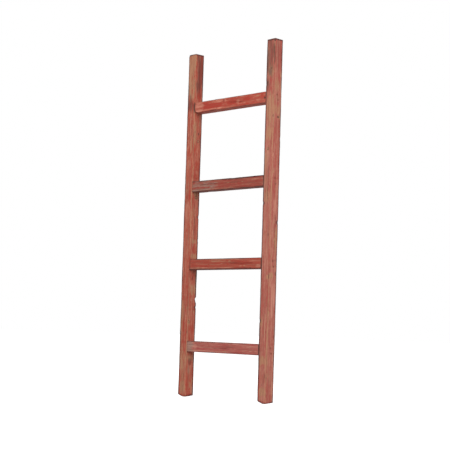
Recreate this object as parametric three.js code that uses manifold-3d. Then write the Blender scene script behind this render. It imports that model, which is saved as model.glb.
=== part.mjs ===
// Ladder rack for quilts and blankets, in millimetres, with +Z up and the front towards -Y.
// Two square rails stand side by side. Four square rungs are butted between them, flush with
// the rails' front faces, and two wood screws through each rail hold each end of a rung.
// The origin is on the floor, midway between the rails and midway through their depth.

import * as THREE from 'three';
import { mergeVertices } from 'three/addons/utils/BufferGeometryUtils.js';
import Module from 'manifold-3d';

const wasm = await Module();
wasm.setup();

// Overall sizes
const railHeight = 1219.2;
const overallWidth = 431.8;

// Timber sections
const railWidth = 38.1;
const railDepth = 38.1;
const rungHeight = 38.1;
const rungDepth = 38.1;
const arris = 1.6; // flat along each long edge
const jointGap = 0.3; // glue line between a rung's end and a rail

// Rung places, to the rungs' centre lines
const bottomRungRise = 177; // above the floor
const topRungDrop = 196; // below the rails' tops
const rungNames = ['bottom_rung', 'lower_rung', 'upper_rung', 'top_rung'];
const rungNudges = [0, 5, -1, 0]; // from even spacing

// Rail feet: a flat strip at the +X side, and a bevel that rises from it to the -X side
const footFlat = 14;
const footRise = 7;

// Screws
const screwLength = 63.5;
const headDiameter = 6.8;
const headRim = 1.4; // straight rim of the head
const headTaper = 2.6; // cone under the rim
const coreDiameter = 2.9;
const threadDiameter = 4.2;
const threadPitch = 3.2;
const threadTurns = 6;
const threadRidge = 1.9; // ridge's width at its root
const tipLength = 5;
const driveWidth = 2.8;
const driveDepth = 2.2;
const facets = 8;

// Screw places in a joint, from the rung's front, top and bottom faces
const screwSink = 1; // head below the rail's outer face
const screwPair = [
  { name: 'upper', behindFront: 17, edge: 1, fromEdge: 13 },
  { name: 'lower', behindFront: 21.5, edge: -1, fromEdge: 7 },
];
const boreClearance = 0.3;
const boreSpare = 2; // beyond the screw's tip

// Sizes that follow
const railX = (overallWidth - railWidth) / 2;
const rungLength = overallWidth - 2 * railWidth - 2 * jointGap;
const rungY = (rungDepth - railDepth) / 2;
const rungSpan = railHeight - topRungDrop - bottomRungRise;

const railPaint = { color: 0xaa6a58, roughness: 0.8, metalness: 0 };
const rungPaint = { color: 0xa2564a, roughness: 0.75, metalness: 0 };
const darkSteel = { color: 0x3b332e, roughness: 0.5, metalness: 0.9 };

function solidOf(geometry) {
  const bare = geometry.clone();
  bare.deleteAttribute('normal');
  bare.deleteAttribute('uv');
  const merged = mergeVertices(bare);
  return new wasm.Manifold(new wasm.Mesh({
    numProp: 3,
    vertProperties: new Float32Array(merged.attributes.position.array),
    triVerts: new Uint32Array(merged.index.array),
  }));
}

function geometryOf(solid) {
  const mesh = solid.getMesh();
  const geometry = new THREE.BufferGeometry();
  geometry.setAttribute('position', new THREE.BufferAttribute(mesh.vertProperties, 3));
  geometry.setIndex(new THREE.BufferAttribute(mesh.triVerts, 1));
  geometry.computeVertexNormals();
  return geometry;
}

// An outline in X and Y, extruded along Z and centred on the origin
function prism(outline, length) {
  const shape = new THREE.Shape(outline.map(([x, y]) => new THREE.Vector2(x, y)));
  const geometry = new THREE.ExtrudeGeometry(shape, { depth: length, bevelEnabled: false });
  return geometry.translate(0, 0, -length / 2);
}

// A rectangle with its four corners cut off at 45 degrees
function easedRectangle(width, height) {
  const [x, y] = [width / 2, height / 2];
  return [
    [-x + arris, -y], [x - arris, -y], [x, -y + arris], [x, y - arris],
    [x - arris, y], [-x + arris, y], [-x, y - arris], [-x, -y + arris],
  ];
}

// A rail's front outline, with the bevel of its foot
function footedOutline() {
  const [x, z] = [railWidth / 2, railHeight / 2];
  return [
    [-x, -z + footRise], [x - footFlat, -z], [x - arris, -z], [x, -z + arris],
    [x, z - arris], [x - arris, z], [-x + arris, z], [-x, z - arris],
  ];
}

// A profile of radius and height, turned about Z
function turned(profile) {
  const points = profile.map(([radius, z]) => new THREE.Vector2(radius, z));
  return new THREE.LatheGeometry(points, facets).rotateX(Math.PI / 2);
}

// The ridge of the thread, as a three-sided coil that starts in the core above the tip
function threadRidgeCoil() {
  const root = coreDiameter * 0.4;
  const crest = threadDiameter / 2;
  const steps = facets * threadTurns;
  const positions = [];
  const faces = [];
  for (let i = 0; i <= steps; i += 1) {
    const angle = (i / facets) * 2 * Math.PI;
    const z = -screwLength + tipLength + (i / facets) * threadPitch;
    const corners = [[root, z], [crest, z + threadRidge / 2], [root, z + threadRidge]];
    corners.forEach(([r, h]) => positions.push(r * Math.cos(angle), r * Math.sin(angle), h));
  }
  for (let i = 0; i < steps; i += 1) {
    for (let side = 0; side < 3; side += 1) {
      const a = i * 3 + side;
      const b = i * 3 + ((side + 1) % 3);
      faces.push(a, a + 3, b, b, a + 3, b + 3);
    }
  }
  faces.push(0, 1, 2, steps * 3 + 2, steps * 3 + 1, steps * 3);
  const geometry = new THREE.BufferGeometry();
  geometry.setAttribute('position', new THREE.Float32BufferAttribute(positions, 3));
  return geometry.setIndex(faces);
}

// A screw along Z, with its head's top at the origin and its tip towards -Z
function screwGeometry() {
  const core = turned([
    [0, -screwLength],
    [coreDiameter / 2, -screwLength + tipLength],
    [coreDiameter / 2, -headRim - headTaper],
    [headDiameter / 2, -headRim],
    [headDiameter / 2, 0],
    [0, 0],
  ]);
  const drive = new THREE.BoxGeometry(driveWidth, driveWidth, 2 * driveDepth);
  return geometryOf(solidOf(core).add(solidOf(threadRidgeCoil())).subtract(solidOf(drive)));
}

// What a screw and its clearance take out of the timber, in the screw's own place
function boreGeometry() {
  const around = (diameter) => (diameter / 2 + boreClearance) / Math.cos(Math.PI / facets);
  const depth = screwLength + boreSpare;
  const seat = -headRim - boreClearance;
  return turned([
    [0, -depth],
    [around(threadDiameter), -depth],
    [around(threadDiameter), seat - headTaper],
    [around(headDiameter), seat],
    [around(headDiameter), 2 * screwSink],
    [0, 2 * screwSink],
  ]);
}

const rungs = rungNames.map((name, i) => ({
  name,
  z: bottomRungRise + (rungSpan * i) / (rungNames.length - 1) + rungNudges[i],
}));

const rails = [
  { name: 'left', side: -1 },
  { name: 'right', side: 1 },
];

// The place of each screw: its rail, its rung, and its head's position on the rail
const screwPlaces = rails.flatMap((rail) => rungs.flatMap((rung) => screwPair.map((screw) => ({
  name: `screw_${rail.name}_${rung.name}_${screw.name}`,
  rail: rail.name,
  rung: rung.name,
  position: new THREE.Vector3(
    rail.side * (overallWidth / 2 - screwSink),
    rungY - rungDepth / 2 + screw.behindFront,
    rung.z + screw.edge * (rungHeight / 2 - screw.fromEdge),
  ),
  turn: (rail.side * Math.PI) / 2,
}))));

// Bores the screws' holes through a piece whose centre is at the given place
function bored(geometry, centre, places) {
  return geometryOf(places.reduce((solid, place) => {
    const bore = boreGeometry().rotateY(place.turn);
    const { x, y, z } = place.position.clone().sub(centre);
    return solid.subtract(solidOf(bore.translate(x, y, z)));
  }, solidOf(geometry)));
}

function railMesh({ name, side }) {
  const centre = new THREE.Vector3(side * railX, 0, railHeight / 2);
  const front = prism(footedOutline(), railDepth).rotateX(Math.PI / 2);
  const plan = prism(easedRectangle(railWidth, railDepth), railHeight);
  const end = prism(easedRectangle(railDepth, railHeight), railWidth)
    .rotateX(Math.PI / 2)
    .rotateZ(Math.PI / 2);
  const timber = solidOf(front).intersect(solidOf(plan)).intersect(solidOf(end));
  const places = screwPlaces.filter((place) => place.rail === name);
  const mesh = new THREE.Mesh(
    bored(geometryOf(timber), centre, places),
    new THREE.MeshStandardMaterial(railPaint),
  );
  mesh.name = `${name}_rail`;
  mesh.position.copy(centre);
  return mesh;
}

function rungMesh({ name, z }) {
  const centre = new THREE.Vector3(0, rungY, z);
  const timber = prism(easedRectangle(rungHeight, rungDepth), rungLength).rotateY(Math.PI / 2);
  const places = screwPlaces.filter((place) => place.rung === name);
  const mesh = new THREE.Mesh(
    bored(timber, centre, places),
    new THREE.MeshStandardMaterial(rungPaint),
  );
  mesh.name = name;
  mesh.position.copy(centre);
  return mesh;
}

function screwMesh({ name, position, turn }) {
  const mesh = new THREE.Mesh(screwGeometry(), new THREE.MeshStandardMaterial(darkSteel));
  mesh.name = name;
  mesh.position.copy(position);
  mesh.rotation.y = turn;
  return mesh;
}

const group = new THREE.Group();
group.add(...rails.map(railMesh), ...rungs.map(rungMesh), ...screwPlaces.map(screwMesh));

export default group;
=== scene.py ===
import itertools
import math

import bpy
import numpy as np
from mathutils import Matrix, Vector


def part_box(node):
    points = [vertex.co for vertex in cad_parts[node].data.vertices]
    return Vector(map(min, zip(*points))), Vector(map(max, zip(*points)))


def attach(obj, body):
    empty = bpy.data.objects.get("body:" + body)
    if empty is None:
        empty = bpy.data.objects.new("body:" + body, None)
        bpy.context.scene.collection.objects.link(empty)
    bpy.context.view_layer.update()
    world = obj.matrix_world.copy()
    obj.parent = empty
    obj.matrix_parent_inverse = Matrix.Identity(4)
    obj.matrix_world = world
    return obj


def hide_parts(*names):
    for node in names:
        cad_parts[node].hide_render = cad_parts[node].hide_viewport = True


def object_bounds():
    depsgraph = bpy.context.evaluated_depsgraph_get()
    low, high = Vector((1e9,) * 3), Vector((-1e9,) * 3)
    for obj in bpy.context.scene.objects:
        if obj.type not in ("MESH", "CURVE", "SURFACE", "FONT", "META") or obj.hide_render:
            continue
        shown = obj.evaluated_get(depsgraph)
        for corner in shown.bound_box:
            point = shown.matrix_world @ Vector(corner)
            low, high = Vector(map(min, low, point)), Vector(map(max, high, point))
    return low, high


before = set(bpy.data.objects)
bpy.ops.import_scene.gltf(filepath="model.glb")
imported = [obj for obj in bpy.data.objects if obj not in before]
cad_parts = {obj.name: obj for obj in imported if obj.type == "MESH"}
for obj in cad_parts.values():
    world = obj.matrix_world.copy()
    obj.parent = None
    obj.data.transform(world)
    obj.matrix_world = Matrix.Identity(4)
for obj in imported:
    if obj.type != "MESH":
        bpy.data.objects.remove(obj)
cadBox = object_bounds()
mm = 0.001


# The camera stands low, to the front right of the rack, and looks slightly up.
cameraView = {
    "lens": 99.9,  # mm, on a sensor 36 mm wide
    "distance": 4.2906,  # from the middle of the front faces
    "turn": 46.545,  # degrees round from the front towards the right
    "lookUp": 4.595,
    "roll": 1.784,
    "offset": (0.0008, 0.0122),  # of the middle, to the right and up in the picture
}


def makeCamera(view):
    low, high = cadBox
    middle = Vector(((low.x + high.x) / 2, low.y, (low.z + high.z) / 2))
    turn, rise, roll = (math.radians(view[key]) for key in ("turn", "lookUp", "roll"))
    ahead = Vector((-math.sin(turn) * math.cos(rise), math.cos(turn) * math.cos(rise),
                    math.sin(rise)))
    right = ahead.cross(Vector((0, 0, 1))).normalized()
    up = right.cross(ahead)
    place = middle - ahead * view["distance"] - right * view["offset"][0] - up * view["offset"][1]
    rolled = Matrix.Rotation(-roll, 3, ahead)
    axes = Matrix((rolled @ right, rolled @ up, -ahead)).transposed()
    data = bpy.data.cameras.new("camera")
    data.lens = view["lens"]
    data.sensor_width = 36
    data.clip_end = 100
    camera = bpy.data.objects.new("camera", data)
    camera.matrix_world = Matrix.Translation(place) @ axes.to_4x4()
    bpy.context.scene.collection.objects.link(camera)
    bpy.context.scene.camera = camera


makeCamera(cameraView)
print("camera placed")


class Wire:
    # a socket that carries a value, with arithmetic
    def __init__(self, shader, socket):
        self.shader = shader
        self.socket = socket

    def __add__(self, other):
        return self.shader.math("ADD", self, other)

    def __radd__(self, other):
        return self.shader.math("ADD", other, self)

    def __sub__(self, other):
        return self.shader.math("SUBTRACT", self, other)

    def __rsub__(self, other):
        return self.shader.math("SUBTRACT", other, self)

    def __mul__(self, other):
        return self.shader.math("MULTIPLY", self, other)

    def __rmul__(self, other):
        return self.shader.math("MULTIPLY", other, self)


class Shader:
    # builds one node tree
    def __init__(self, tree):
        self.tree = tree
        tree.nodes.clear()

    def node(self, kind, settings=None, sockets=None, output=0):
        made = self.tree.nodes.new(kind)
        for name, value in (settings or {}).items():
            if name == "stops":
                self.setStops(made.color_ramp, value)
            else:
                setattr(made, name, value)
        for name, value in (sockets or {}).items():
            if isinstance(value, Wire):
                self.tree.links.new(value.socket, made.inputs[name])
            else:
                made.inputs[name].default_value = value
        return Wire(self, made.outputs[output]) if len(made.outputs) else None

    def setStops(self, ramp, stops):
        while len(ramp.elements) < len(stops):
            ramp.elements.new(0.5)
        for element, (position, colour) in zip(ramp.elements, stops):
            element.position = position
            element.color = colour

    def math(self, operation, first, second=0.0):
        return self.node("ShaderNodeMath", {"operation": operation}, {0: first, 1: second})

    def vector(self, operation, first, second, output=0):
        return self.node("ShaderNodeVectorMath", {"operation": operation},
                         {0: first, 1: second}, output)

    def mix(self, factor, first, second):
        return self.node("ShaderNodeMix", {"data_type": "RGBA"},
                         {0: factor, 6: first, 7: second}, 2)

    def step(self, value, low, high):
        # 0 below low, 1 above high, smooth between them
        settings = {"interpolation_type": "SMOOTHSTEP"}
        return self.node("ShaderNodeMapRange", settings,
                         {"Value": value, "From Min": low, "From Max": high})

    def attribute(self, name, output):
        return self.node("ShaderNodeAttribute", {"attribute_name": name}, None, output)

    def noise(self, place, size, detail, roughness):
        # noise whose grains have this size in mm along and across the timber
        scaled = self.vector("DIVIDE", place, size)
        return self.node("ShaderNodeTexNoise", None,
                         {"Vector": scaled, "Scale": 1.0, "Detail": detail,
                          "Roughness": roughness})


def colour(red, green, blue):
    # a display colour, 0 to 255, as the linear colour that sockets hold
    linear = [((c / 255 + 0.055) / 1.055) ** 2.4 for c in (red, green, blue)]
    return (*linear, 1.0)


# Colours of the paint and the timber under it; the grime colour serves for grime and for painted
# shade
palette = {
    "deep": colour(158, 48, 36),
    "brick": colour(164, 80, 63),
    "dusty": colour(174, 103, 84),
    "salmon": colour(203, 134, 113),
    "tanLight": colour(191, 139, 107),
    "tanDark": colour(146, 96, 71),
    "greyLight": colour(172, 140, 125),
    "greyDark": colour(112, 84, 73),
    "brownLine": colour(104, 56, 44),
    "grimeAndShade": colour(62, 36, 33),
}


# Noise in the paint and the timber: sizes of its grains in mm along and across, octaves, roughness
grains = {
    "wander": ((150, 14, 14), 2, 0.5),  # of the growth rings
    "streaks": ((110, 4.2, 4.2), 3, 0.62),
    "threads": ((36, 1.7, 1.7), 3, 0.62),
    "fibres": ((11, 0.55, 0.55), 2, 0.5),
    "blotches": ((85, 9, 9), 3, 0.55),
    "crumbs": ((2.6, 1.6, 1.6), 3, 0.65),
    "flecks": ((9, 3.4, 3.4), 2, 0.6),
    "seams": ((130, 3.2, 3.2), 3, 0.6),
    "sawLines": ((1.9, 60, 60), 2, 0.6),
}

finish = {
    "coat": 0.42,  # how far thin and thick paint move the tone
    "fray": 0.7,  # how ragged the edges of thin and thick paint are
    "grimeAndShade": 0.8,
    "roughness": 0.68, "bareRougher": 0.14, "crumbRougher": 0.16, "specular": 0.3,
    "relief": 0.55, "reliefDepth": 0.0004,
}


def paintedTimber(name, look):
    material = bpy.data.materials.new(name)
    material.use_nodes = True
    s = Shader(material.node_tree)
    grain = s.attribute("grain", "Vector")
    bare, pale, deep, grey, dark = (s.attribute(tone, "Fac")
                                    for tone in ("bare", "pale", "deep", "grey", "dark"))

    # growth rings round a pith that lies outside the timber
    across = s.vector("MULTIPLY", s.vector("SUBTRACT", grain, (0, *look["pith"])), (0, 1, 1))
    radius = s.vector("LENGTH", across, (0, 0, 0), "Value")
    noises = [s.noise(grain, *grains[kind]) for kind in grains]
    wander, streaks, threads, fibres, blotches, crumbs, flecks, seams, sawLines = noises
    ring = s.math("FRACT", radius * (1 / look["ringGap"]) + wander * look["ringWander"])
    lateWood = s.step(ring, 0.45, 0.9) * (1 - s.step(ring, 0.93, 1.0))

    ragged = (streaks - 0.5) * 0.8 + (threads - 0.5) * 0.55 + (crumbs - 0.5) * 0.3

    # the paint, from deep red where it is thick to salmon where it is thin
    thin = s.step(pale + ragged * finish["fray"], 0.15, 1.0)
    thick = s.step(deep + ragged * finish["fray"], 0.15, 1.0)
    tone = (look["tone"] + (streaks - 0.5) * look["streaks"] + (blotches - 0.5) * look["blotches"]
            + (threads - 0.5) * 0.7 + (flecks - 0.5) * look["flecks"] + (crumbs - 0.5) * 0.2
            + (sawLines - 0.5) * look["sawLines"]
            + thin * finish["coat"] - thick * finish["coat"])
    paint = s.node("ShaderNodeValToRGB", {"stops": [
        (0.0, palette["deep"]), (0.36, palette["brick"]),
        (0.62, palette["dusty"]), (1.0, palette["salmon"])]}, {"Fac": tone})
    paint = s.mix(look["wash"], paint, look["washColour"])

    # bare timber, tan or weathered grey, with dark late wood and fibres
    lines = lateWood * 0.45 + (fibres - 0.5) * 0.8 + (threads - 0.5) * 0.8 + 0.3
    tan = s.mix(lines, palette["tanLight"], palette["tanDark"])
    weathered = s.mix(lines, palette["greyLight"], palette["greyDark"])
    greyed = s.step(grey + ragged * 0.6, 0.25, 0.85)
    timber = s.mix(greyed, tan, weathered)

    # rubbed through in streaks, with the late wood showing as brown lines
    rubbed = s.step(bare + grey * 0.6 + look["rubbed"] + ragged * 2.0 + (blotches - 0.5) * 0.6
                    + (flecks - 0.5) * 0.5, 0.3, 0.9)
    surface = s.mix(rubbed * look["rubbedMost"], paint, timber)
    brown = s.step(seams + lateWood * 0.06 + (flecks - 0.5) * 0.25, 0.54, 0.68)
    surface = s.mix(brown * look["brown"], surface, palette["brownLine"])
    # the dark tone is grime and painted shade: dark edge bands, rung undersides, bores and feet
    grimyAndShaded = s.step(dark + ragged * 0.45, 0.1, 0.8)
    surface = s.mix(grimyAndShaded * finish["grimeAndShade"], surface, palette["grimeAndShade"])

    height = (fibres * 0.35 + threads * 0.4 + streaks * 0.3 + lateWood * 0.3 + crumbs * 0.35
              + sawLines * 0.25 - rubbed * 0.35)
    bump = s.node("ShaderNodeBump", None, {
        "Strength": finish["relief"], "Distance": finish["reliefDepth"], "Height": height})
    roughness = (finish["roughness"] + rubbed * finish["bareRougher"]
                 + (crumbs - 0.5) * finish["crumbRougher"])
    principled = s.node("ShaderNodeBsdfPrincipled", None, {
        "Base Color": surface, "Roughness": roughness, "Normal": bump,
        "Specular IOR Level": finish["specular"]})
    s.node("ShaderNodeOutputMaterial", None, {"Surface": principled})
    return material


# The screws' heads, dulled by paint and rust
steelLook = {
    "dull": colour(166, 106, 90), "rusty": colour(160, 86, 68),
    "metallic": 0.45, "rustLessMetallic": 0.4, "roughness": 0.42, "rustRougher": 0.4,
}


def oxidisedSteel():
    material = bpy.data.materials.new("oxidisedSteel")
    material.use_nodes = True
    s = Shader(material.node_tree)
    place = s.vector("MULTIPLY", s.node("ShaderNodeTexCoord", None, None, "Object"),
                     (1000, 1000, 1000))
    rust = s.step(s.noise(place, (1.6, 1.6, 1.6), 4, 0.65), 0.42, 0.66)
    speckle = s.noise(place, (0.35, 0.35, 0.35), 2, 0.5)
    surface = s.mix(rust, steelLook["dull"], steelLook["rusty"])
    bump = s.node("ShaderNodeBump", None, {
        "Strength": 0.4, "Distance": 0.0001, "Height": speckle + rust * 0.6})
    principled = s.node("ShaderNodeBsdfPrincipled", None, {
        "Base Color": surface, "Normal": bump,
        "Metallic": steelLook["metallic"] - rust * steelLook["rustLessMetallic"],
        "Roughness": steelLook["roughness"] + rust * steelLook["rustRougher"]})
    s.node("ShaderNodeOutputMaterial", None, {"Surface": principled})
    return material


# A timber is shaped in its own place, in mm: s runs along it, a and b across it from its centre.
def smoothstep(value, low, high):
    t = np.clip((value - low) / (high - low), 0, 1)
    return t * t * (3 - 2 * t)


def scatter(points, cell, seed):
    # smooth noise from -1 to 1, with grains of the given size along s, a and b
    place = points / np.array(cell, float)
    corner = np.floor(place).astype(np.int64)
    part = place - corner
    part = part * part * (3 - 2 * part)
    total = np.zeros(len(points))
    for step in itertools.product((0, 1), repeat=3):
        x, y, z = (corner + np.array(step)).T
        mixed = (x * 73856093) ^ (y * 19349663) ^ (z * 83492791) ^ (seed * 2654435761)
        mixed = ((mixed ^ (mixed >> 13)) * 1274126177) & 0xFFFFFFFF
        mixed = ((mixed ^ (mixed >> 15)) * 2246822519) & 0xFFFFFFFF
        weight = np.prod(np.where(np.array(step) == 1, part, 1 - part), axis=1)
        total += weight * (((mixed >> 8) & 0xFFFF) / 32767.5 - 1)
    return total


def stops(start, end, step, fine=()):
    # places from start to end, closer together inside the fine stretches (low, high, step)
    pace = 0.25
    along = np.arange(start, end, pace)
    density = np.full(len(along), 1 / step)
    for low, high, fineStep in fine:
        inside = smoothstep(along, low - 4, low) * (1 - smoothstep(along, high, high + 4))
        density = np.maximum(density, inside / fineStep)
    total = np.concatenate([[0], np.cumsum(density * pace)])
    count = max(2, int(round(total[-1])))
    return np.interp(np.linspace(0, total[-1], count + 1), total, np.append(along, end))


def boxGrid(sLines, aLines, bLines):
    # the surface of a box as one closed grid of quads that face outwards
    shape = len(sLines), len(aLines), len(bLines)
    skin = np.ones(shape, bool)
    skin[1:-1, 1:-1, 1:-1] = False
    index = np.full(shape, -1)
    index[skin] = np.arange(skin.sum())
    cells = np.argwhere(skin)
    points = np.column_stack([sLines[cells[:, 0]], aLines[cells[:, 1]], bLines[cells[:, 2]]])

    def quads(sheet, flip):
        made = np.stack([sheet[:-1, :-1], sheet[1:, :-1], sheet[1:, 1:], sheet[:-1, 1:]], -1)
        made = made.reshape(-1, 4)
        return made[:, ::-1] if flip else made

    faces = [quads(index[0], True), quads(index[-1], False),
             quads(index[:, 0], False), quads(index[:, -1], True),
             quads(index[:, :, 0], True), quads(index[:, :, -1], False)]
    return points, np.concatenate(faces)


faceAxes = {"a-": (1, -1), "a+": (1, 1), "b-": (2, -1), "b+": (2, 1)}


def crackOffset(points, crack, half):
    # how far points on the crack's face lie from its wandering line, and how deep it is there
    axis, side = faceAxes[crack["face"]]
    other = 3 - axis
    line = crack["across"] + crack["wander"] * scatter(
        np.column_stack([points[:, 0], np.zeros(len(points)), np.zeros(len(points))]),
        (26, 1, 1), crack["seed"])
    onFace = smoothstep(points[:, axis] * side, half[axis] - 3.5, half[axis] - 0.5)
    ends = smoothstep(points[:, 0], crack["start"], crack["start"] + crack["taper"])
    ends *= 1 - smoothstep(points[:, 0], crack["end"] - crack["taper"], crack["end"])
    return points[:, other] - line, onFace * ends


def ellipsoid(points, at, size):
    # 1 at the middle, 0 at the rim and beyond
    reach = np.linalg.norm((points - np.array(at, float)) / np.array(size, float), axis=1)
    return np.clip(1 - reach, 0, 1)


def pastRoundEnd(points, half, radius):
    # how far points by the front face lie outside a half-round drawn on the timber's low end
    beyond = np.hypot(np.minimum(points[:, 0] - radius, 0), points[:, 2]) - radius
    share = smoothstep(-points[:, 1], half[1] - 9, half[1] - 6) * (points[:, 0] < 2 * radius)
    return beyond, share


# Depths in mm of what has worn off every face
wear = {
    "least": 0.06, "broad": 0.16, "ridges": 0.07, "pocks": 0.05, "sawMarks": 0.06, "endGrain": 0.35,
    "roundEnd": 2.2, "knotGroove": 0.4, "knotRise": 0.15,
}


def shapeTimber(points, half, timber):
    # rounds, wears, splits and dents a box whose s runs from 0 to twice half[0]
    seed = timber["seed"]
    for crack in timber["cracks"]:
        # draws the grid's lines towards the crack
        reach = 4
        other = 3 - faceAxes[crack["face"]][0]
        offset, depth = crackOffset(points, crack, half)
        pulled = np.sign(offset) * np.minimum(np.abs(offset), reach) ** 1.7 / reach ** 0.7
        near = np.abs(offset) < reach
        points[near, other] += ((pulled - offset) * depth)[near]
    centre = points - np.array([half[0], 0, 0])
    corner = np.sign(centre[:, 1]) + 3 * np.sign(centre[:, 2])
    lane = np.column_stack([points[:, 0], corner * 50, np.zeros(len(points))])
    radius = timber["arris"] * (1 + 0.7 * scatter(lane, (55, 20, 1), seed)
                                + 0.35 * scatter(lane, (9, 20, 1), seed + 1))
    radius = np.clip(radius, 0.5, 6)[:, None]
    inner = np.clip(centre, radius - half, half - radius)
    outward = centre - inner
    outward /= np.linalg.norm(outward, axis=1)[:, None]
    shaped = inner + outward * radius

    depth = wear["least"] + wear["broad"] * (1 + scatter(points, (190, 40, 40), seed + 2))
    depth += wear["ridges"] * (1 + scatter(points, (60, 1.9, 1.9), seed + 3))
    depth += wear["pocks"] * (1 + scatter(points, (14, 5, 5), seed + 4))
    sawn = smoothstep(scatter(points, (120, 60, 60), seed + 5), -0.1, 0.5)
    turn = (points[:, 0] * (2 * np.pi / timber["sawPitch"])
            + 2.5 * scatter(points, (40, 25, 25), seed + 6))
    depth += wear["sawMarks"] * sawn * (1 + np.sin(turn))
    endGrain = 1 + scatter(points, (9, 2.2, 2.2), seed + 7)
    depth += wear["endGrain"] * np.abs(outward[:, 0]) * endGrain
    for crack in timber["cracks"]:
        offset, share = crackOffset(points, crack, half)
        groove = np.clip(1 - np.abs(offset) / (crack["width"] / 2), 0, 1) ** 0.7
        depth += crack["depth"] * share * groove
    rough = 1 + 0.5 * scatter(points, (4, 4, 4), seed + 8)
    for at, size, deep in timber["nicks"]:
        depth += deep * rough * smoothstep(ellipsoid(points, at, size), 0, 0.75)
    if timber["roundEnd"]:
        beyond, share = pastRoundEnd(points, half, timber["roundEnd"])
        depth += wear["roundEnd"] * share * smoothstep(beyond, -0.6, 1.6)
    for at, reach in timber["knots"]:
        near = np.linalg.norm(points - np.array(at, float), axis=1) / reach
        depth += wear["knotGroove"] * smoothstep(near, 1.5, 1.0) * smoothstep(near, 0.55, 0.95)
        depth -= wear["knotRise"] * smoothstep(near, 0.9, 0.2)
    shaped -= outward * depth[:, None]
    shaped[:, 2] -= timber["thinner"] * (shaped[:, 2] + half[2]) / (2 * half[2])
    return shaped + np.array([half[0], 0, 0])


# How strongly the shape marks each tone; the marks at the feet, in the bores and past the round end
# are painted shade
tints = {
    "topRim": 1.0, "footShade": 0.75, "footDeepPaintAndShade": 0.9, "boreShade": 0.15,
    "nickGrey": 0.5, "nickDark": 0.8, "knotRing": 0.55, "knotBare": 0.35, "roundEndShade": 0.5,
}

# Small chips and dabs scattered over every face
specks = {
    "perLength": 0.09,  # of each tone, per mm of half a timber's length
    "long": (3, 13), "wide": (1.6, 3.6),
    "bare": 0.7, "pale": 0.9, "deep": 0.9, "dark": 0.35,
}


foot = {"flat": 14.0, "rise": 7.0, "backRise": 4.0, "blend": 45.0}


def footLift(points, half):
    # how high a foot is cut off: more on the low side of a, past a flat strip, and at the back
    low, high = -half[1], half[1] - foot["flat"]
    lift = foot["rise"] * np.clip((high - points[:, 1]) / (high - low), 0, 1)
    return lift + foot["backRise"] * (points[:, 2] + half[2]) / (2 * half[2])


def timberTones(points, half, timber):
    # how bare, pale, deep, grey and dark each vertex is
    seed = timber["seed"]
    tones = {tone: np.zeros(len(points)) for tone in ("bare", "pale", "deep", "grey", "dark")}
    gaps = half - np.abs(points - np.array([half[0], 0, 0]))
    fromEdge = np.sort(gaps, axis=1)[:, 1]
    sunk = gaps.min(axis=1)
    uneven = 1 + 0.5 * scatter(points, (45, 50, 50), seed + 9)
    patchy = 0.8 + 0.45 * scatter(points, (22, 30, 30), seed + 10)
    # the dark edge bands are painted shade along the arrises
    for (aSide, bSide), (tone, strength, width) in timber["edges"].items():
        here = (points[:, 1] * aSide > 0) & (points[:, 2] * bSide > 0)
        band = 1 - smoothstep(fromEdge, 0.35 * width, width * uneven)
        tones[tone] += strength * here * patchy * band
    rim = timber["rim"] * patchy
    fromTop = 2 * half[0] - points[:, 0]
    tones["dark"] += tints["topRim"] * rim * (1 - smoothstep(fromTop, 2.5, 7.5))
    # painted shade along the foot: dark at its very end, and deeper red paint with painted shade
    # above it
    fromFoot = points[:, 0] - footLift(points, half)
    tones["dark"] += tints["footShade"] * rim * (1 - smoothstep(fromFoot, 1.5, 6.5))
    tones["deep"] += tints["footDeepPaintAndShade"] * rim * (1 - smoothstep(fromFoot, 4, 13))
    # painted shade deep inside the screws' bores
    tones["dark"] += tints["boreShade"] * smoothstep(sunk, 2.4, 5.0)
    for crack in timber["cracks"]:
        offset, share = crackOffset(points, crack, half)
        tones["dark"] += share * (1 - smoothstep(np.abs(offset), 0.2, crack["width"] * 0.8))
    for at, size, deep in timber["nicks"]:
        reach = ellipsoid(points, at, size)
        tones["grey"] += tints["nickGrey"] * smoothstep(reach, 0.1, 0.4)
        tones["dark"] += tints["nickDark"] * smoothstep(reach, 0.2, 0.8)
    for at, reach in timber["knots"]:
        near = np.linalg.norm(points - np.array(at, float), axis=1) / reach
        ring = smoothstep(near, 0.55, 0.85) * (1 - smoothstep(near, 0.85, 1.2))
        tones["dark"] += tints["knotRing"] * ring
        tones["bare"] += tints["knotBare"] * (1 - smoothstep(near, 0.9, 1.5))
    if timber["roundEnd"]:
        beyond, share = pastRoundEnd(points, half, timber["roundEnd"])
        tones["pale"] += share * (1 - smoothstep(np.abs(beyond + 3), 0.8, 3))
        # painted shade on the corner past the round end
        tones["dark"] += tints["roundEndShade"] * share * smoothstep(beyond, -0.8, 0.6)
    ragged = 1 + 0.6 * scatter(points, (38, 4.5, 4.5), seed + 11)
    ragged += 0.5 * scatter(points, (11, 2.2, 2.2), seed + 12)
    for tone, strength, at, size in timber["patches"]:
        tones[tone] += strength * smoothstep(ellipsoid(points, at, size) * ragged, 0, 0.6)
    dice = np.random.default_rng(seed)
    for tone in ("bare", "pale", "deep", "dark"):
        for speck in range(int(half[0] * specks["perLength"])):
            at = dice.uniform(-1, 1, 3) * half + (half[0], 0, 0)
            axis = dice.integers(1, 3)
            at[axis] = half[axis] * dice.choice((-1, 1))
            long = dice.uniform(*specks["long"])
            wide = dice.uniform(*specks["wide"])
            reach = ellipsoid(points, at, (long, wide, wide))
            tones[tone] += specks[tone] * smoothstep(reach, 0, 0.6)
    return {tone: np.clip(value, 0, 1) for tone, value in tones.items()}


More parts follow.
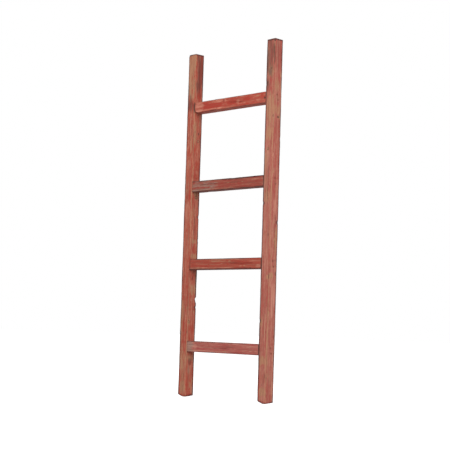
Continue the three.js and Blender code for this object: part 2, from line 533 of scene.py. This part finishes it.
def grainOf(points, timber):
    # where each vertex lies in the grain, which bends round the knots
    grain = points.copy()
    for at, reach in timber["knots"]:
        away = points - np.array(at, float)
        near = np.exp(-((np.linalg.norm(away * (0.45, 1, 1), axis=1) / (1.5 * reach)) ** 2))
        grain[:, 1:] -= 0.8 * away[:, 1:] * near[:, None]
    return grain


def newPiece(name, points, faces, node, material):
    mesh = bpy.data.meshes.new(name)
    mesh.from_pydata(points.tolist(), [], faces if isinstance(faces, list) else faces.tolist())
    mesh.update()
    piece = bpy.data.objects.new(name, mesh)
    bpy.context.scene.collection.objects.link(piece)
    mesh.materials.append(material)
    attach(piece, "root")
    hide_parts(node)
    return piece


def cutAway(piece, cutters):
    # takes closed meshes out of a piece and drops them
    for cutter in cutters:
        cut = piece.modifiers.new("cut", "BOOLEAN")
        cut.object = cutter
        cut.operation = "DIFFERENCE"
        cut.solver = "MANIFOLD"
    depsgraph = bpy.context.evaluated_depsgraph_get()
    mesh = bpy.data.meshes.new_from_object(piece.evaluated_get(depsgraph))
    mesh.name = piece.name
    piece.modifiers.clear()
    piece.data = mesh
    for cutter in cutters:
        bpy.data.objects.remove(cutter)


def shadeSmooth(mesh, sharpFrom):
    # smooth but for the edges that turn by more than so many degrees
    mesh.polygons.foreach_set("use_smooth", [True] * len(mesh.polygons))
    mesh.set_sharp_from_angle(angle=math.radians(sharpFrom))


def turnedGrid(profile, around):
    # a closed surface turned about x, from (x, radius) pairs that start and end off the axis
    x, radius = np.array(profile, float).T
    angle = np.arange(around) * (2 * np.pi / around)
    points = np.stack([np.repeat(x[:, None], around, 1), radius[:, None] * np.cos(angle),
                       radius[:, None] * np.sin(angle)], -1).reshape(-1, 3)
    ring = np.arange(around)
    following = np.roll(ring, -1)
    faces = []
    for row in range(len(x) - 1):
        low, high = row * around, (row + 1) * around
        faces += np.stack([low + ring, low + following, high + following, high + ring],
                          -1).tolist()
    faces.append(ring[::-1].tolist())
    faces.append(((len(x) - 1) * around + ring).tolist())
    return points, faces


screw = {
    "headDiameter": 6.8,
    "headRim": 1.4,
    "headTaper": 2.6,
    "core": 2.9,
    "thread": 4.2,
    "pitch": 3.2,
    "threadLength": 19.2,
    "threadRoot": 0.45,  # its share of the pitch
    "rowsPerTurn": 8,
    "neck": 1.5,
    "neckThicker": 0.15,
    "headRound": 0.25,
    "tip": 5.0,
    "blunt": 0.3,
    "drive": 2.8,
    "driveDepth": 2.2,
    "driveTaper": 0.86,
    "clearance": 0.3,
    "sink": 1.0,
    "spare": 2.0,  # of the hole, past the tip
    "around": 32,
    "sharpFrom": 35,
}
screwNodes = [name for name in sorted(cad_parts) if name.startswith("screw_")]


def screwPlace(node):
    # the middle of the head's top, the way in (1 or -1 along x) and the length, in mm
    low, high = (np.array(corner) * 1000 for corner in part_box(node))
    centre = (low + high) / 2
    inward = 1 if centre[0] < 0 else -1
    head = np.array([low[0] if inward > 0 else high[0], centre[1], centre[2]])
    return head, inward, high[0] - low[0]


def placed(points, head, inward):
    # turned about z rather than mirrored, so that every thread is right-handed
    return (points * (inward, inward, 1) + head) * mm


def boreCutter(node):
    head, inward, length = screwPlace(node)
    gap = screw["clearance"]
    rim = screw["headRim"] + gap
    radius = screw["thread"] / 2 + gap
    wide = screw["headDiameter"] / 2 + gap
    profile = [(-2 * screw["sink"], wide), (rim, wide), (rim + screw["headTaper"], radius),
               (length + screw["spare"], radius)]
    points, faces = turnedGrid(profile, screw["around"])
    mesh = bpy.data.meshes.new("bore")
    mesh.from_pydata(placed(points, head, inward).tolist(), [], faces)
    cutter = bpy.data.objects.new("bore", mesh)
    bpy.context.scene.collection.objects.link(cutter)
    return cutter


def makeScrew(node, material, seed):
    head, inward, length = screwPlace(node)
    shank, edge = screw["core"] / 2, screw["headRound"]
    wide = screw["headDiameter"] / 2
    under = screw["headRim"] + screw["headTaper"]
    start = length - screw["tip"] - screw["threadLength"]
    profile = [(0, wide - edge), (edge * 0.3, wide - edge * 0.3), (edge, wide),
               (screw["headRim"], wide), (under, shank + screw["neckThicker"]),
               (under + screw["neck"], shank)]
    end = length - screw["blunt"]
    rows = int(round((end - start) / screw["pitch"] * screw["rowsPerTurn"]))
    profile += [(x, shank) for x in np.linspace(start, end, rows + 1)]
    points, faces = turnedGrid(profile, screw["around"])
    turn = np.arctan2(points[:, 2], points[:, 1]) / (2 * np.pi)
    phase = np.abs(((points[:, 0] - start) / screw["pitch"] - turn) % 1 - 0.5) * 2
    root = screw["threadRoot"]
    ridge = np.clip((phase - root) / (1 - root), 0, 1) * (screw["thread"] - screw["core"]) / 2
    ridge *= smoothstep(points[:, 0], start, start + screw["pitch"])
    taper = np.clip((length - points[:, 0]) / screw["tip"], 0, 1)
    threaded = points[:, 0] >= start
    radius = np.hypot(points[:, 1], points[:, 2])
    wanted = np.where(threaded, (shank + ridge) * np.sqrt(taper), radius)
    points[:, 1:] *= (wanted / radius)[:, None]
    piece = newPiece("visual_" + node, placed(points, head, inward), faces, node,
                     material)
    spin = np.random.default_rng(seed).uniform(0, np.pi / 2)
    half, low = screw["drive"] / 2, screw["driveDepth"]
    corners = np.array([(x, y, z) for x in (-1, low) for y in (-half, half)
                        for z in (-half, half)], float)
    corners[:, 1:] *= np.where(corners[:, :1] > 0, screw["driveTaper"], 1.0)
    cos, sin = math.cos(spin), math.sin(spin)
    corners[:, 1:] = corners[:, 1:] @ np.array([[cos, sin], [-sin, cos]])
    sides = [(0, 1, 3, 2), (4, 6, 7, 5), (0, 4, 5, 1), (2, 3, 7, 6), (0, 2, 6, 4), (1, 5, 7, 3)]
    mesh = bpy.data.meshes.new("drive")
    mesh.from_pydata(placed(corners, head, inward).tolist(), [], sides)
    socket = bpy.data.objects.new("drive", mesh)
    bpy.context.scene.collection.objects.link(socket)
    cutAway(piece, [socket])
    return piece


# Edges are (side of a, side of b): (tone, strength, width); the dark edge bands are painted shade
# along the arrises. Nicks are place, size, depth. Knots are place, size. Patches are tone, strength,
# place, size. A timber is thinner by so much at its b side.
# On a rail a runs to the right and b to the back. On a rung a runs to the back and b upwards.
leftRail = {
    "seed": 11, "rim": 1.0, "roundEnd": 0.0, "arris": 1.1, "sawPitch": 8.5, "thinner": 0.0,
    "edges": {(-1, -1): ("dark", 0.85, 7), (1, -1): ("bare", 0.4, 4),
              (1, 1): ("dark", 0.9, 7), (-1, 1): ("bare", 0.5, 4)},
    "cracks": [
        {"face": "b-", "start": 880, "end": 1010, "across": 4, "wander": 1.6, "width": 1.1,
         "depth": 1.6, "taper": 30, "seed": 3},
        {"face": "b-", "start": 395, "end": 505, "across": -7, "wander": 1.4, "width": 1.0,
         "depth": 1.4, "taper": 30, "seed": 5},
        {"face": "a+", "start": 560, "end": 690, "across": -3, "wander": 2.0, "width": 1.0,
         "depth": 1.5, "taper": 25, "seed": 7},
        {"face": "a-", "start": 210, "end": 420, "across": 3, "wander": 2.4, "width": 1.3,
         "depth": 2.0, "taper": 50, "seed": 9},
        {"face": "b+", "start": 640, "end": 860, "across": -5, "wander": 2.2, "width": 1.2,
         "depth": 1.8, "taper": 45, "seed": 10},
    ],
    "nicks": [
        ((340, 19, 19), (13, 9, 9), 4.6), ((314, 19, 18), (6, 4, 6), 1.3),
        ((634, 19, 19), (9, 6, 6), 0.9), ((552, 19, 19), (7, 5, 5), 0.8),
        ((1216, -18, -17), (7, 8, 7), 1.2), ((760, -19, -19), (14, 4, 4), 0.6),
        ((150, -19, 19), (22, 5, 5), 1.8), ((980, -19, 19), (16, 5, 5), 1.5),
    ],
    "knots": [((704, 19, 4), 6.0), ((262, 19, -12), 5.0), ((905, 19, 4), 5.0),
              ((560, -19, -4), 8.0), ((1010, 2, 19), 9.0)],
    "patches": [
        # on the front, from the top down
        ("bare", 0.65, (1195, 0, -19), (60, 34, 12)), ("bare", 0.75, (1115, -2, -19), (90, 30, 12)),
        ("grey", 0.35, (1110, -12, -19), (60, 12, 12)), ("dark", 0.5, (1080, -16, -19), (40, 6, 8)),
        ("grey", 0.4, (1062, 0, -19), (26, 18, 10)), ("dark", 0.5, (1040, -4, -19), (44, 20, 10)),
        # the dark at 1024 beside the top rung's round end is painted shade
        ("dark", 0.6, (1024, 17, -19), (26, 6, 8)), ("deep", 0.5, (970, 10, -19), (14, 12, 8)),
        ("pale", 0.5, (905, -6, -19), (55, 14, 10)), ("bare", 0.45, (890, 8, -19), (45, 7, 8)),
        ("deep", 0.8, (862, 0, -19), (30, 14, 8)), ("deep", 0.4, (750, 2, -19), (95, 20, 10)),
        ("deep", 0.5, (708, 4, -19), (24, 18, 8)), ("pale", 0.55, (650, 0, -19), (55, 22, 10)),
        ("pale", 0.3, (540, 0, -19), (60, 22, 10)), ("deep", 0.4, (470, 6, -19), (60, 10, 8)),
        ("deep", 0.5, (345, 2, -19), (20, 14, 8)), ("bare", 0.55, (302, -9, -19), (46, 12, 10)),
        ("bare", 0.5, (250, -14, -19), (130, 8, 10)), ("deep", 0.85, (243, 4, -19), (44, 18, 8)),
        ("bare", 0.45, (130, 0, -19), (44, 20, 10)), ("deep", 0.35, (80, 6, -19), (30, 16, 8)),
        ("bare", 0.25, (60, 0, -19), (90, 22, 12)), ("bare", 0.4, (36, 0, -19), (26, 22, 10)),
        ("deep", 0.8, (3, 0, -19), (9, 24, 12)),
        # on the right face, from the top down
        ("dark", 0.4, (1150, 19, 0), (110, 10, 30)), ("deep", 0.35, (1150, 19, 0), (90, 10, 24)),
        ("deep", 0.9, (1065, 19, 2), (26, 10, 14)), ("grey", 0.6, (985, 19, 13), (46, 8, 10)),
        ("bare", 0.4, (940, 19, -10), (60, 8, 12)), ("dark", 0.5, (932, 19, 5), (6, 6, 4)),
        ("bare", 0.5, (915, 19, -12), (60, 8, 9)), ("deep", 0.8, (815, 19, 2), (28, 8, 14)),
        ("deep", 0.7, (778, 19, 0), (14, 8, 22)), ("bare", 0.7, (716, 19, 0), (10, 6, 16)),
        ("deep", 0.7, (688, 19, -13), (22, 8, 8)), ("bare", 0.5, (640, 19, -8), (50, 8, 10)),
        ("dark", 1.0, (634, 19, 17), (9, 7, 9)), ("dark", 0.24, (560, 19, 0), (900, 10, 34)),
        ("dark", 0.9, (552, 19, 18), (7, 7, 8)), ("bare", 0.6, (547, 19, 0), (12, 8, 18)),
        ("deep", 1.0, (518, 19, 3), (20, 8, 14)), ("bare", 0.7, (493, 19, 0), (12, 8, 22)),
        ("deep", 0.8, (421, 19, -3), (22, 8, 17)), ("grey", 0.6, (405, 19, 14), (34, 8, 8)),
        ("bare", 0.7, (375, 19, 0), (24, 8, 22)), ("dark", 0.6, (314, 19, 14), (6, 6, 7)),
        ("bare", 1.0, (262, 19, -14), (11, 6, 8)), ("deep", 0.7, (240, 19, 4), (26, 8, 16)),
        ("bare", 0.45, (137, 19, 2), (16, 8, 22)), ("dark", 0.3, (124, 19, 0), (18, 6, 14)),
        ("grey", 0.5, (96, 19, -6), (26, 8, 13)), ("pale", 0.5, (92, 19, -4), (26, 8, 13)),
        ("deep", 0.8, (82, 19, 12), (44, 8, 8)), ("deep", 0.35, (70, 19, 2), (90, 8, 26)),
        ("deep", 0.8, (46, 19, 10), (16, 8, 9)), ("bare", 0.3, (45, 19, -4), (26, 8, 14)),
        ("deep", 0.8, (3, 19, 0), (9, 10, 24)),
    ],
    "look": {"pith": (70.0, 46.0), "ringGap": 4.1, "ringWander": 2.2, "tone": 0.4,
             "streaks": 2.6, "blotches": 0.8, "flecks": 1.2, "sawLines": 0.4, "rubbed": 0.25,
             "rubbedMost": 0.95, "brown": 0.6,
             "wash": 0.22, "washColour": colour(186, 102, 78)},
}

rightRail = {
    "seed": 37, "rim": 1.0, "roundEnd": 0.0, "arris": 1.1, "sawPitch": 9.5, "thinner": 0.3,
    "edges": {(-1, -1): ("dark", 0.85, 7), (1, -1): ("bare", 0.45, 4),
              (1, 1): ("dark", 0.9, 7), (-1, 1): ("bare", 0.45, 4)},
    "cracks": [
        {"face": "b-", "start": 930, "end": 1010, "across": -6, "wander": 1.2, "width": 0.9,
         "depth": 1.3, "taper": 22, "seed": 21},
        {"face": "b-", "start": 640, "end": 800, "across": 3, "wander": 1.8, "width": 1.0,
         "depth": 1.5, "taper": 40, "seed": 23},
        {"face": "a+", "start": 480, "end": 640, "across": 5, "wander": 1.6, "width": 1.0,
         "depth": 1.5, "taper": 40, "seed": 25},
        {"face": "b+", "start": 240, "end": 520, "across": 4, "wander": 2.2, "width": 1.3,
         "depth": 2.0, "taper": 60, "seed": 27},
    ],
    "nicks": [
        ((1068, -19, -19), (10, 6, 5), 0.8), ((664, -19, -19), (8, 6, 6), 1.0),
        ((272, -19, -19), (9, 6, 6), 1.0), ((600, 18, 18), (9, 6, 6), 0.9),
        ((1212, 17, -18), (6, 6, 6), 1.2), ((420, 19, -19), (16, 4, 4), 0.6),
        ((880, 18, 18), (14, 4, 5), 0.7), ((95, -19, 18), (18, 5, 5), 1.8),
    ],
    "knots": [((954, 18, 5), 4.0), ((846, -2, -19), 4.5), ((430, -4, 18), 9.0),
              ((740, -19, 2), 7.0)],
    "patches": [
        # on the front, from the top down
        ("deep", 0.35, (1180, 10, -19), (50, 10, 8)),
        ("grey", 0.45, (1160, -4, -19), (100, 26, 12)),
        ("dark", 0.42, (1160, -4, -19), (110, 30, 10)), ("bare", 0.4, (1110, 4, -19), (34, 16, 10)),
        ("deep", 0.4, (1078, 2, -19), (20, 14, 8)), ("dark", 0.7, (1068, -17, -19), (12, 8, 8)),
        ("dark", 0.35, (1060, -8, -19), (30, 14, 8)), ("deep", 0.8, (1046, -4, -19), (8, 18, 6)),
        ("grey", 0.3, (990, 0, -19), (150, 26, 12)), ("bare", 0.4, (985, 3, -19), (66, 24, 10)),
        ("pale", 0.5, (955, -8, -19), (26, 10, 8)), ("bare", 0.5, (900, 0, -19), (34, 22, 10)),
        ("deep", 0.6, (856, 7, -19), (28, 12, 8)), ("bare", 0.5, (800, -11, -19), (56, 9, 9)),
        ("deep", 0.45, (742, 2, -19), (62, 20, 8)), ("pale", 0.5, (728, -12, -19), (16, 8, 8)),
        ("bare", 0.45, (690, 0, -19), (34, 22, 9)), ("dark", 1.0, (664, -17, -19), (9, 9, 8)),
        ("deep", 0.7, (562, -6, -19), (16, 9, 6)), ("pale", 0.3, (560, 0, -19), (90, 24, 10)),
        ("dark", 0.16, (560, 0, -19), (800, 34, 10)), ("bare", 0.75, (417, 12, -19), (11, 9, 6)),
        ("deep", 0.5, (345, 0, -19), (50, 24, 8)), ("dark", 1.0, (272, -17, -19), (10, 9, 8)),
        ("bare", 0.75, (268, -12, -19), (22, 9, 8)), ("deep", 0.6, (178, -12, -19), (24, 12, 8)),
        ("bare", 0.6, (142, 0, -19), (22, 22, 9)), ("deep", 0.6, (86, 0, -19), (32, 24, 8)),
        ("bare", 0.55, (40, 0, -19), (20, 22, 9)), ("deep", 0.8, (3, 0, -19), (9, 24, 12)),
        # on the right face, from the top down
        ("deep", 0.5, (1185, 19, 6), (40, 10, 13)), ("dark", 0.3, (1170, 19, 0), (90, 10, 34)),
        ("bare", 0.4, (1064, 19, 0), (30, 10, 22)), ("grey", 0.45, (1020, 19, 5), (14, 10, 15)),
        ("bare", 0.45, (980, 19, 0), (24, 10, 22)), ("bare", 0.9, (954, 19, 12), (9, 8, 8)),
        ("dark", 0.6, (954, 18, 5), (5, 6, 5)), ("deep", 0.5, (870, 19, -2), (110, 8, 7)),
        ("deep", 0.45, (860, 19, 9), (90, 8, 6)), ("deep", 0.6, (790, 19, 0), (56, 8, 6)),
        ("deep", 0.7, (748, 19, 0), (7, 8, 22)), ("deep", 0.8, (708, 19, -3), (38, 8, 7)),
        ("pale", 0.5, (650, 19, 0), (40, 10, 22)), ("dark", 1.0, (600, 19, 16), (10, 8, 10)),
        ("dark", 0.4, (600, 18, 16), (8, 8, 8)), ("bare", 0.55, (545, 19, 9), (50, 10, 9)),
        ("deep", 0.6, (530, 19, -8), (28, 8, 5)), ("dark", 0.3, (474, 19, 3), (7, 8, 16)),
        ("dark", 0.4, (430, 18, 12), (9, 8, 7)), ("bare", 0.85, (422, 19, -8), (14, 10, 13)),
        ("pale", 0.4, (380, 19, 0), (120, 10, 20)), ("pale", 0.9, (335, 19, 3), (66, 10, 12)),
        ("deep", 0.7, (315, 19, -17), (30, 8, 5)), ("deep", 0.5, (243, 19, -14), (9, 8, 5)),
        ("deep", 0.55, (195, 19, 5), (10, 8, 16)), ("dark", 0.35, (182, 19, 2), (5, 8, 12)),
        ("pale", 0.35, (150, 19, 0), (30, 10, 22)), ("grey", 0.5, (85, 19, -15), (24, 8, 5)),
        ("deep", 0.9, (22, 19, 9), (16, 10, 12)),
    ],
    "look": {"pith": (58.0, -64.0), "ringGap": 4.4, "ringWander": 2.0, "tone": 0.5,
             "streaks": 2.6, "blotches": 0.6, "flecks": 1.1, "sawLines": 0.3, "rubbed": 0.27,
             "rubbedMost": 0.95, "brown": 0.5,
             "wash": 0.26, "washColour": colour(175, 116, 107)},
}

topRung = {
    "seed": 53, "rim": 0.0, "roundEnd": 19.0, "arris": 1.8, "sawPitch": 11.0, "thinner": 0.3,
    "edges": {(-1, -1): ("dark", 0.4, 4), (-1, 1): ("dark", 0.6, 4.5),
              (1, -1): ("bare", 0.4, 4), (1, 1): ("bare", 0.5, 4)},
    "cracks": [
        {"face": "a-", "start": 165, "end": 262, "across": -1, "wander": 1.8, "width": 1.0,
         "depth": 1.5, "taper": 25, "seed": 31},
        {"face": "b+", "start": 60, "end": 250, "across": 2, "wander": 2.2, "width": 1.2,
         "depth": 1.8, "taper": 45, "seed": 33},
    ],
    "nicks": [
        ((0, -19, 19), (12, 8, 9), 2.0), ((150, -19, 17), (3, 6, 11), 1.4),
        ((350, -19, -2), (4, 4, 4), 1.4), ((96, -19, -19), (30, 5, 5), 0.9),
        ((250, 19, 18), (18, 5, 5), 1.6),
    ],
    "knots": [((349, -19, -2), 4.0), ((225, 3, 18), 7.0)],
    "patches": [
        # on the front, from left to right
        ("grey", 0.3, (17, -19, 1), (14, 10, 11)), ("pale", 0.9, (22, -19, 2), (34, 10, 26)),
        ("deep", 0.9, (60, -19, 9), (18, 10, 7)), ("deep", 1.0, (95, -19, -3), (70, 10, 11)),
        ("pale", 0.8, (110, -19, -14), (56, 8, 6)), ("pale", 1.0, (118, -19, 11), (42, 8, 6)),
        ("dark", 0.7, (150, -19, 11), (2.6, 6, 11)), ("pale", 1.0, (158, -19, 11), (8, 8, 10)),
        ("deep", 1.0, (190, -19, 0), (34, 10, 11)), ("pale", 0.8, (222, -19, -2), (14, 8, 13)),
        ("pale", 0.7, (240, -19, -11), (34, 8, 6)), ("deep", 1.0, (264, -19, 6), (30, 10, 10)),
        ("bare", 0.5, (318, -19, 8), (14, 8, 9)), ("pale", 0.8, (322, -19, -6), (20, 8, 9)),
        ("deep", 0.7, (337, -19, 10), (9, 8, 8)), ("dark", 0.8, (350, -19, -2), (5, 6, 5)),
        # underneath, painted shade
        ("dark", 0.2, (177, 0, -19), (420, 26, 6)),
    ],
    "look": {"pith": (-44.0, 30.0), "ringGap": 4.2, "ringWander": 2.6, "tone": 0.32,
             "streaks": 1.7, "blotches": 1.0, "flecks": 0.9, "sawLines": 0.1, "rubbed": -0.05,
             "rubbedMost": 0.75, "brown": 0.3,
             "wash": 0.18, "washColour": colour(198, 88, 68)},
}

upperRung = {
    "seed": 71, "rim": 0.0, "roundEnd": 0.0, "arris": 1.1, "sawPitch": 8.0, "thinner": 0.0,
    "edges": {(-1, -1): ("dark", 0.7, 5), (-1, 1): ("dark", 0.95, 6.5),
              (1, -1): ("bare", 0.4, 4), (1, 1): ("bare", 0.4, 4)},
    "cracks": [
        {"face": "a-", "start": 30, "end": 150, "across": 4, "wander": 1.4, "width": 0.9,
         "depth": 1.3, "taper": 25, "seed": 41},
        {"face": "a+", "start": 150, "end": 330, "across": -5, "wander": 2.0, "width": 1.1,
         "depth": 1.6, "taper": 40, "seed": 43},
    ],
    "nicks": [((210, -19, 19), (14, 5, 5), 1.8), ((60, 19, -19), (20, 5, 5), 2.0)],
    "knots": [((285, 2, 19), 7.0), ((110, 19, 3), 7.0)],
    "patches": [
        # on the front, from left to right
        ("grey", 0.85, (40, -19, 0), (110, 12, 34)), ("pale", 1.3, (128, -19, -2), (3.5, 8, 14)),
        ("deep", 0.5, (152, -19, -4), (34, 8, 14)), ("grey", 0.35, (200, -19, 2), (170, 12, 30)),
        ("dark", 0.3, (240, -19, 17), (150, 6, 7)), ("deep", 0.4, (245, -19, 0), (16, 8, 14)),
        ("deep", 0.35, (318, -19, -5), (40, 8, 14)), ("grey", 0.6, (352, -19, 0), (8, 8, 20)),
        # underneath, painted shade
        ("dark", 0.45, (177, 0, -19), (420, 26, 6)),
    ],
    "look": {"pith": (-60.0, -38.0), "ringGap": 3.8, "ringWander": 2.0, "tone": 0.3,
             "streaks": 2.3, "blotches": 0.5, "flecks": 0.8, "sawLines": 0.15, "rubbed": 0.1,
             "rubbedMost": 0.8, "brown": 0.55,
             "wash": 0.4, "washColour": colour(128, 71, 61)},
}

lowerRung = {
    "seed": 89, "rim": 0.0, "roundEnd": 0.0, "arris": 1.1, "sawPitch": 8.5, "thinner": 0.0,
    "edges": {(-1, -1): ("dark", 0.9, 6), (-1, 1): ("dark", 0.85, 5),
              (1, -1): ("bare", 0.4, 4), (1, 1): ("bare", 0.45, 4)},
    "cracks": [
        {"face": "a-", "start": 190, "end": 330, "across": 1, "wander": 1.2, "width": 0.9,
         "depth": 1.2, "taper": 30, "seed": 51},
        {"face": "b+", "start": 20, "end": 210, "across": -3, "wander": 2.0, "width": 1.1,
         "depth": 1.6, "taper": 40, "seed": 53},
    ],
    "nicks": [((300, -19, 19), (16, 4, 4), 1.4), ((120, 19, 19), (22, 5, 5), 2.0)],
    "knots": [((70, -2, 19), 6.5), ((240, 19, -2), 8.0)],
    "patches": [
        # on the front, from left to right
        ("deep", 0.5, (18, -19, 2), (22, 8, 18)), ("bare", 0.4, (45, -19, -8), (24, 8, 12)),
        ("grey", 0.4, (140, -19, 12), (80, 8, 8)), ("bare", 0.35, (160, -19, 9), (110, 8, 11)),
        ("pale", 0.7, (190, -19, -13), (150, 6, 3)), ("pale", 0.7, (258, -19, -9), (15, 8, 5)),
        ("deep", 0.6, (270, -19, 3), (70, 8, 12)), ("pale", 1.0, (342, -19, -9), (18, 8, 9)),
        # underneath, painted shade
        ("dark", 0.45, (177, 0, -19), (420, 26, 6)),
    ],
    "look": {"pith": (-52.0, 44.0), "ringGap": 4.0, "ringWander": 2.2, "tone": 0.3,
             "streaks": 2.2, "blotches": 0.5, "flecks": 0.4, "sawLines": 0.15, "rubbed": 0.05,
             "rubbedMost": 0.75, "brown": 0.5,
             "wash": 0.28, "washColour": colour(158, 76, 55)},
}

bottomRung = {
    "seed": 97, "rim": 0.0, "roundEnd": 0.0, "arris": 1.2, "sawPitch": 9.0, "thinner": 0.2,
    "edges": {(-1, -1): ("dark", 0.55, 5), (-1, 1): ("dark", 0.7, 5),
              (1, -1): ("bare", 0.4, 4), (1, 1): ("bare", 0.5, 4)},
    "cracks": [
        {"face": "a-", "start": 120, "end": 230, "across": -3, "wander": 1.5, "width": 0.9,
         "depth": 1.2, "taper": 30, "seed": 61},
        {"face": "b+", "start": 150, "end": 340, "across": 2, "wander": 1.8, "width": 1.1,
         "depth": 1.6, "taper": 40, "seed": 63},
    ],
    "nicks": [((30, -19, 19), (18, 5, 5), 1.6), ((200, 19, 19), (24, 5, 5), 2.2)],
    "knots": [((305, 1, 19), 7.0), ((60, 19, 4), 6.0)],
    "patches": [
        # on the front, from left to right
        ("bare", 0.35, (12, -19, 0), (24, 14, 34)), ("bare", 1.0, (13, -19, -10), (7, 6, 6)),
        ("grey", 1.0, (14, -19, 0), (34, 14, 34)), ("pale", 1.2, (20, -19, 0), (44, 12, 34)),
        ("grey", 0.5, (84, -19, 10), (34, 8, 9)), ("pale", 0.6, (84, -19, 8), (34, 8, 9)),
        ("deep", 0.6, (190, -19, 2), (44, 8, 14)), ("deep", 0.6, (262, -19, -8), (24, 8, 9)),
        ("grey", 0.7, (322, -19, -2), (26, 8, 13)),
        # on top
        ("pale", 0.7, (177, 0, 19), (420, 26, 8)),
        # underneath, painted shade
        ("dark", 0.3, (177, 0, -19), (420, 26, 8)),
    ],
    "look": {"pith": (-66.0, 40.0), "ringGap": 4.2, "ringWander": 2.0, "tone": 0.46,
             "streaks": 2.8, "blotches": 0.6, "flecks": 1.2, "sawLines": 0.15, "rubbed": 0.02,
             "rubbedMost": 0.75, "brown": 0.55,
             "wash": 0.38, "washColour": colour(172, 104, 100)},
}

grid = {
    "along": 4.4, "across": 0.95, "alongFine": 1.4, "acrossFine": 0.55,
    "edge": 3.0,  # mm from each arris that the finer lines take up
    "sharpFrom": 50,
}


def makeTimber(node, timber, upright):
    low, high = (np.array(corner) * 1000 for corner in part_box(node))
    order = [2, 0, 1] if upright else [0, 1, 2]
    half = ((high - low) / 2)[order]
    origin = ((low + high) / 2)[order]
    origin[0] = low[order[0]]
    fine = [(at[0] - size[0], at[0] + size[0], grid["alongFine"])
            for at, size, deep in timber["nicks"]]
    fine += [(at[0] - 1.5 * reach, at[0] + 1.5 * reach, grid["alongFine"])
             for at, reach in timber["knots"]]
    if timber["roundEnd"]:
        fine.append((0, timber["roundEnd"], grid["alongFine"] / 2))
    edge = grid["edge"]
    lines = [stops(0, 2 * half[0], grid["along"], fine)]
    for reach in half[1:]:
        ends = [(-reach, edge - reach, grid["acrossFine"]),
                (reach - edge, reach, grid["acrossFine"])]
        lines.append(stops(-reach, reach, grid["across"], ends))
    points, faces = boxGrid(*lines)
    points = shapeTimber(points, half, timber)
    if upright:
        lowered = 1 - smoothstep(points[:, 0], 0, foot["blend"])
        points[:, 0] += footLift(points, half) * lowered
    world = np.empty_like(points)
    world[:, order] = points + origin
    piece = newPiece("visual_" + node, world * mm, faces, node,
                     paintedTimber("paint_" + node, timber["look"]))
    near = [name for name in screwNodes if node.replace("_rail", "_") in name or node in name]
    cutAway(piece, [boreCutter(name) for name in near])
    mesh = piece.data
    placedAt = np.empty(len(mesh.vertices) * 3)
    mesh.vertices.foreach_get("co", placedAt)
    local = (placedAt.reshape(-1, 3) / mm)[:, order] - origin
    for tone, values in timberTones(local, half, timber).items():
        mesh.attributes.new(tone, "FLOAT", "POINT").data.foreach_set("value", values)
    grainPlace = mesh.attributes.new("grain", "FLOAT_VECTOR", "POINT")
    grainPlace.data.foreach_set("vector", grainOf(local, timber).ravel())
    shadeSmooth(mesh, grid["sharpFrom"])
    print(node, len(mesh.vertices), "vertices,", len(mesh.polygons), "faces,", len(near), "bores")


for node, timber in (("left_rail", leftRail), ("right_rail", rightRail)):
    makeTimber(node, timber, True)
for node, timber in (("top_rung", topRung), ("upper_rung", upperRung),
                     ("lower_rung", lowerRung), ("bottom_rung", bottomRung)):
    makeTimber(node, timber, False)

steel = oxidisedSteel()
for number, node in enumerate(screwNodes):
    made = makeScrew(node, steel, number)
    shadeSmooth(made.data, screw["sharpFrom"])
print(len(screwNodes), "screws made")


studio = {
    "floorSize": 40.0, "floorGrey": 0.5, "floorRoughness": 0.9, "floorGlow": 0.9,
    "key": {"power": 150.0, "size": 3.2, "turn": 46.0, "rise": 24.0},
    "fill": {"power": 60.0, "size": 3.0, "turn": 215.0, "rise": 35.0},
    "lightDistance": 4.0,
    "surround": 0.52,
}


def softLight(name, power, size, turn, rise):
    low, high = cadBox
    middle = (low + high) / 2
    turn, rise = math.radians(turn), math.radians(rise)
    away = Vector((math.sin(turn) * math.cos(rise), -math.cos(turn) * math.cos(rise),
                   math.sin(rise)))
    data = bpy.data.lights.new(name, "AREA")
    data.shape = "DISK"
    data.size = size
    data.energy = power
    light = bpy.data.objects.new(name, data)
    light.location = middle + away * studio["lightDistance"]
    light.rotation_euler = away.to_track_quat("Z", "Y").to_euler()
    bpy.context.scene.collection.objects.link(light)


def makeStudio():
    reach = studio["floorSize"] / 2
    mesh = bpy.data.meshes.new("floor")
    mesh.from_pydata([(-reach, -reach, 0), (reach, -reach, 0), (reach, reach, 0),
                      (-reach, reach, 0)], [], [(0, 1, 2, 3)])
    floor = bpy.data.objects.new("floor", mesh)
    bpy.context.scene.collection.objects.link(floor)
    material = bpy.data.materials.new("paleFloor")
    material.use_nodes = True
    s = Shader(material.node_tree)
    principled = s.node("ShaderNodeBsdfPrincipled", None, {
        "Base Color": (*[studio["floorGrey"]] * 3, 1), "Roughness": studio["floorRoughness"],
        "Emission Color": (1, 1, 1, 1), "Emission Strength": studio["floorGlow"]})
    s.node("ShaderNodeOutputMaterial", None, {"Surface": principled})
    mesh.materials.append(material)
    floor.visible_diffuse = False
    floor.visible_glossy = False
    for name in ("key", "fill"):
        softLight(name, **studio[name])
    world = bpy.data.worlds.new("surround")
    bpy.context.scene.world = world
    world.use_nodes = True
    s = Shader(world.node_tree)
    seen = s.node("ShaderNodeLightPath", None, None, "Is Camera Ray")
    strength = seen * (1 - studio["surround"]) + studio["surround"]
    background = s.node("ShaderNodeBackground", None, {"Color": (1, 1, 1, 1),
                                                       "Strength": strength})
    s.node("ShaderNodeOutputWorld", None, {"Surface": background})
    bpy.context.scene.view_settings.view_transform = "Standard"


makeStudio()
print("studio lit")
